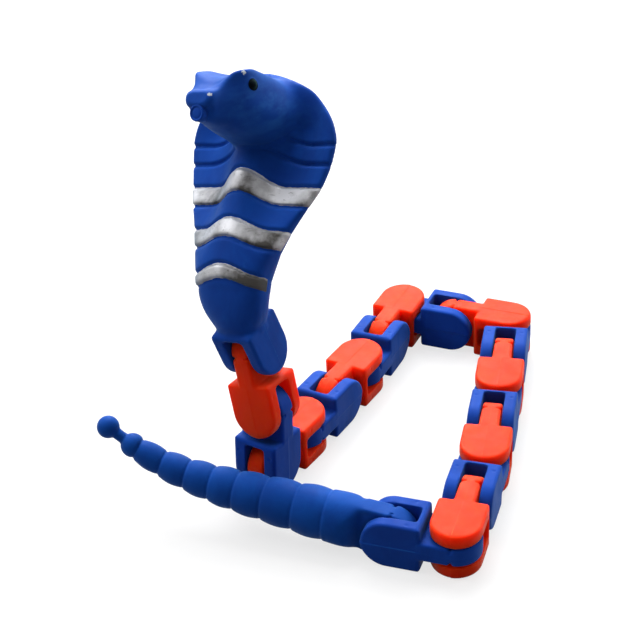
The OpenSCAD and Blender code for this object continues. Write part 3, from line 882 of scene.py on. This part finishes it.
for name, link in build_links().items():
    link.data.materials.append((orange if is_orange(name) else blue_link).material)
    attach(link, name)
    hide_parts(name)

tail_skin = build_tail()
tail_skin.data.materials.append(blue_tail.material)
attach(tail_skin, "tail")
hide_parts("tail")

for name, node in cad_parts.items():
    node.data.materials.clear()
    node.data.materials.append((orange if is_orange(name) else blue).material)

# Floor, which looks white and throws little light back on the toy
FLOOR_HALF = 2
FLOOR_DULL = (0.16, 0.16, 0.16)
FLOOR_WHITES = [(0.90, 0.90, 0.90), (0.93, 0.93, 0.93)]
FLOOR_GLOW = 0.72
floor = new_object("floor", [(-FLOOR_HALF, -FLOOR_HALF, 0), (FLOOR_HALF, -FLOOR_HALF, 0),
                             (FLOOR_HALF, FLOOR_HALF, 0), (-FLOOR_HALF, FLOOR_HALF, 0)],
                   [(0, 1, 2, 3)])
paper = Graph("paper")
paper.bsdf.inputs["Roughness"].default_value = 0.9
path = paper.node("ShaderNodeLightPath")
looked_at = paper.math("MAXIMUM", path.outputs["Is Camera Ray"], path.outputs["Is Glossy Ray"])
looked_at = paper.math("MAXIMUM", looked_at, path.outputs["Is Transmission Ray"])
white = paper.mix(paper.noise(30, detail=2), *FLOOR_WHITES)
paper.link(paper.mix(looked_at, FLOOR_DULL, white), paper.bsdf.inputs["Base Color"])
glow = paper.node("ShaderNodeEmission")
blend = paper.node("ShaderNodeMixShader")
paper.link(paper.times(looked_at, FLOOR_GLOW), blend.inputs[0])
paper.link(paper.bsdf.outputs[0], blend.inputs[1])
paper.link(glow.outputs[0], blend.inputs[2])
paper.link(blend.outputs[0], paper.tree.nodes["Material Output"].inputs["Surface"])
floor.data.materials.append(paper.material)

# World, white to look at and dimmer as a light
WORLD_LIGHT = 0.28
world = bpy.data.worlds.new("studio")
bpy.context.scene.world = world
world.use_nodes = True
tree = world.node_tree
background = tree.nodes["Background"]
light_path = tree.nodes.new("ShaderNodeLightPath")
strength = tree.nodes.new("ShaderNodeMapRange")
looked = light_path.outputs["Is Camera Ray"]
for ray in ("Is Glossy Ray", "Is Transmission Ray"):
    either = tree.nodes.new("ShaderNodeMath")
    either.operation = "MAXIMUM"
    tree.links.new(looked, either.inputs[0])
    tree.links.new(light_path.outputs[ray], either.inputs[1])
    looked = either.outputs[0]
tree.links.new(looked, strength.inputs["Value"])
strength.inputs["To Min"].default_value = WORLD_LIGHT
strength.inputs["To Max"].default_value = 1.0
tree.links.new(strength.outputs["Result"], background.inputs["Strength"])
background.inputs["Color"].default_value = (1, 1, 1, 1)

# Soft boxes: name, azimuth and elevation in degrees, size in metres, power in watts
LIGHTS = [("key", 0, 57, 0.5, 5.8),
          ("back", 0, 31, 0.4, 2.8),
          ("left_fill", 280, 45, 0.4, 1.9),
          ("right_fill", 65, 25, 0.4, 1.8)]
LIGHT_TARGET = Vector((0, 0, 0.03))
LIGHT_REACH = 0.65


def soft_light(name, azimuth, elevation, size, power):
    """A round soft box that looks at the toy; azimuth 0 is behind it, 90 at its right."""
    a, e = math.radians(azimuth), math.radians(elevation)
    way = Vector((math.sin(a) * math.cos(e), math.cos(a) * math.cos(e), math.sin(e)))
    place = LIGHT_TARGET + LIGHT_REACH * way
    data = bpy.data.lights.new(name, "AREA")
    data.shape = "DISK"
    data.size = size
    data.energy = power
    obj = bpy.data.objects.new(name, data)
    bpy.context.scene.collection.objects.link(obj)
    obj.location = place
    obj.rotation_euler = (LIGHT_TARGET - place).to_track_quat("-Z", "Y").to_euler()


for row in LIGHTS:
    soft_light(*row)

# Camera, fitted to the photograph's view
CAMERA_PLACE = (0.00628, -0.32987, 0.23592)
CAMERA_TURN = (58.652, 2.579, -0.230)
CAMERA_LENS = 89.66
camera_data = bpy.data.cameras.new("camera")
camera = bpy.data.objects.new("camera", camera_data)
bpy.context.scene.collection.objects.link(camera)
camera_data.sensor_width = 36
camera_data.lens = CAMERA_LENS
camera_data.clip_start = 0.01
camera.location = CAMERA_PLACE
camera.rotation_euler = [math.radians(a) for a in CAMERA_TURN]
bpy.context.scene.camera = camera
bpy.context.scene.view_settings.view_transform = "Standard"
